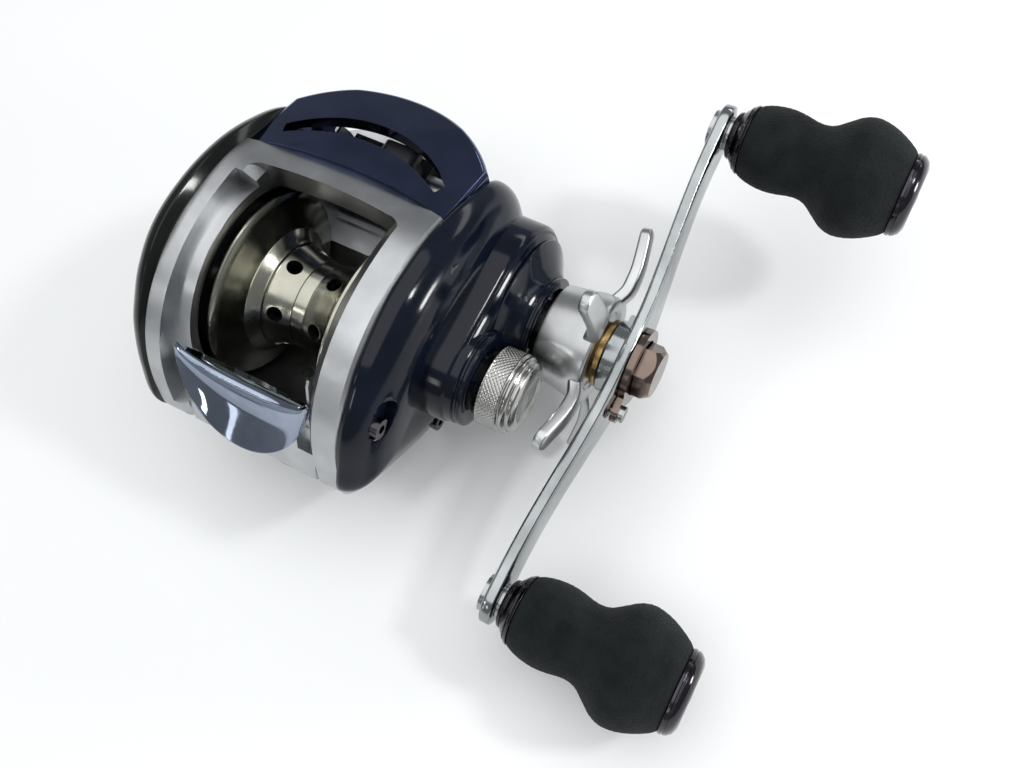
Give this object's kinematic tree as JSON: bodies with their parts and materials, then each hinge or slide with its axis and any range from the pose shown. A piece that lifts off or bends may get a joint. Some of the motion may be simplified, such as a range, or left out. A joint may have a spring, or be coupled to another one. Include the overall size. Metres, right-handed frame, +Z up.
{
  "type": "fishing reel",
  "caption": "Low-profile baitcasting fishing reel with level wind, thumb clutch bar, star drag and a right-hand double-knob crank.",
  "frame": {"origin": "on the reel foot's flat underside, straight below the spool axis", "axes": "+X along the spool axis towards the crank, +Y the way the line leaves, +Z up from the rod"},
  "size_m": [0.1158, 0.115, 0.0518],
  "materials": {
    "frame_silver": "satin silver paint over aluminium",
    "hood_chrome": "dark plated, mirror gloss",
    "cover_navy": "deep navy gloss",
    "palm_black": "black gloss",
    "gunmetal": "polished, machined rings",
    "thumb_chrome": "mirror plated",
    "silver_satin": "satin anodised",
    "crank_steel": "polished with fine brushing",
    "steel": "ground",
    "knurl_nickel": "knurled, plated",
    "brass": "machined",
    "nut_chrome": "warm tinted plating",
    "black_chrome": "black plated",
    "foam": "closed-cell foam, matt",
    "black_plastic": "fine matt",
    "carbon": "woven carbon drag material",
    "ceramic": "hard polished ring",
    "rubber": "soft",
    "magnet": "nickel plated"
  },
  "bodies": {
    "reel_frame": {"frame": "frame_silver", "reel_foot": "steel", "foot_rivets": "steel", "palm_side_plate": "palm_black", "housing_screws": "steel", "spool_bearing_left": "steel", "pinion_bearing": "steel", "yoke_posts": "steel", "yoke_springs": "steel", "hood": "hood_chrome", "worm_bushes": "black_plastic", "worm_guard": "silver_satin", "guide_rod": "steel", "gear_side_cover": "cover_navy", "cover_screws": "black_chrome", "drive_shaft_bearing": "steel", "one_way_bearing": "steel", "tension_ring": "rubber", "tension_shim": "brass"},
    "spool": {"spool": "gunmetal", "spool_shaft": "steel", "spool_cross_pin": "steel"},
    "pinion": {"pinion_gear": "brass"},
    "yoke": {"clutch_yoke": "black_plastic"},
    "thumb_bar": {"thumb_bar": "thumb_chrome", "clutch_cam": "steel"},
    "worm": {"worm_shaft": "steel", "worm_gear": "black_plastic"},
    "line_guide": {"line_guide": "black_plastic", "line_guide_ring": "ceramic", "pawl": "brass", "pawl_cap": "steel"},
    "crank": {"drive_shaft": "steel", "main_gear": "brass", "wind_drive_gear": "black_plastic", "drag_washers": "carbon", "drag_plates": "steel", "pressure_plate": "steel", "clutch_sleeve": "steel", "spring_washers": "steel", "brass_washers": "brass", "handle_arm": "crank_steel", "handle_nut": "nut_chrome", "nut_retainer": "nut_chrome", "retainer_screw": "steel", "knob_spindles": "steel"},
    "star": {"star_drag": "silver_satin", "star_nut": "brass"},
    "knob_front": {"knob_front_cap_inner": "black_chrome", "knob_front_grip": "foam", "knob_front_cap_outer": "black_chrome", "knob_front_bush": "black_plastic"},
    "knob_rear": {"knob_rear_cap_inner": "black_chrome", "knob_rear_grip": "foam", "knob_rear_cap_outer": "black_chrome", "knob_rear_bush": "black_plastic"},
    "tension_knob": {"tension_knob": "knurl_nickel"},
    "brake_dial": {"brake_dial": "black_chrome"},
    "magnets": {"magnet_carrier": "black_plastic", "brake_magnets": "magnet"}
  },
  "joints": [
    {"name": "handle_turn", "type": "hinge", "parent": "reel_frame", "child": "crank", "pos_m": [0.04, 0.01631, 0.01538], "axis": [1, 0, 0], "continuous": true},
    {"name": "spool_spin", "type": "hinge", "parent": "reel_frame", "child": "spool", "pos_m": [0, 0, 0.022], "axis": [1, 0, 0], "continuous": true},
    {"name": "thumb_press", "type": "slide", "parent": "reel_frame", "child": "thumb_bar", "axis": [0, -0.3827, -0.9239], "range_m": [0, 0.004]},
    {"name": "yoke_slide", "type": "slide", "parent": "reel_frame", "child": "yoke", "axis": [1, 0, 0], "range_m": [0, 0.0015], "deforming": ["yoke_springs"]},
    {"name": "pinion_spin", "type": "hinge", "parent": "yoke", "child": "pinion", "pos_m": [0.025, 0, 0.022], "axis": [1, 0, 0], "continuous": true},
    {"name": "worm_spin", "type": "hinge", "parent": "reel_frame", "child": "worm", "pos_m": [0, 0.02876, 0.02374], "axis": [1, 0, 0], "continuous": true},
    {"name": "line_guide_travel", "type": "slide", "parent": "reel_frame", "child": "line_guide", "axis": [1, 0, 0], "range_m": [-0.0105, 0.0065]},
    {"name": "star_turn", "type": "hinge", "parent": "crank", "child": "star", "pos_m": [0.044, 0.01631, 0.01538], "axis": [1, 0, 0], "range_deg": [-270, 90]},
    {"name": "knob_front_spin", "type": "hinge", "parent": "crank", "child": "knob_front", "pos_m": [0.07, 0.06291, 0.02402], "axis": [1, 0, 0], "continuous": true},
    {"name": "knob_rear_spin", "type": "hinge", "parent": "crank", "child": "knob_rear", "pos_m": [0.07, -0.0303, 0.00674], "axis": [1, 0, 0], "continuous": true},
    {"name": "tension_knob_turn", "type": "hinge", "parent": "reel_frame", "child": "tension_knob", "pos_m": [0.038, 0, 0.022], "axis": [1, 0, 0], "range_deg": [-360, 90]},
    {"name": "brake_dial_turn", "type": "hinge", "parent": "reel_frame", "child": "brake_dial", "pos_m": [-0.026, 0, 0.022], "axis": [1, 0, 0], "range_deg": [-150, 120]},
    {"name": "magnet_slide", "type": "slide", "parent": "reel_frame", "child": "magnets", "axis": [1, 0, 0], "range_m": [-0.0007, 0.0006]}
  ],
  "couplings": [
    {"joint": "spool_spin", "follows": "handle_turn", "ratio": -5.7692},
    {"joint": "pinion_spin", "follows": "handle_turn", "ratio": -5.7692},
    {"joint": "worm_spin", "follows": "handle_turn", "ratio": -4},
    {"joint": "yoke_slide", "follows": "thumb_press", "ratio": 0.375},
    {"joint": "magnet_slide", "follows": "brake_dial_turn", "m_per_rad": 0.000255}
  ]
}
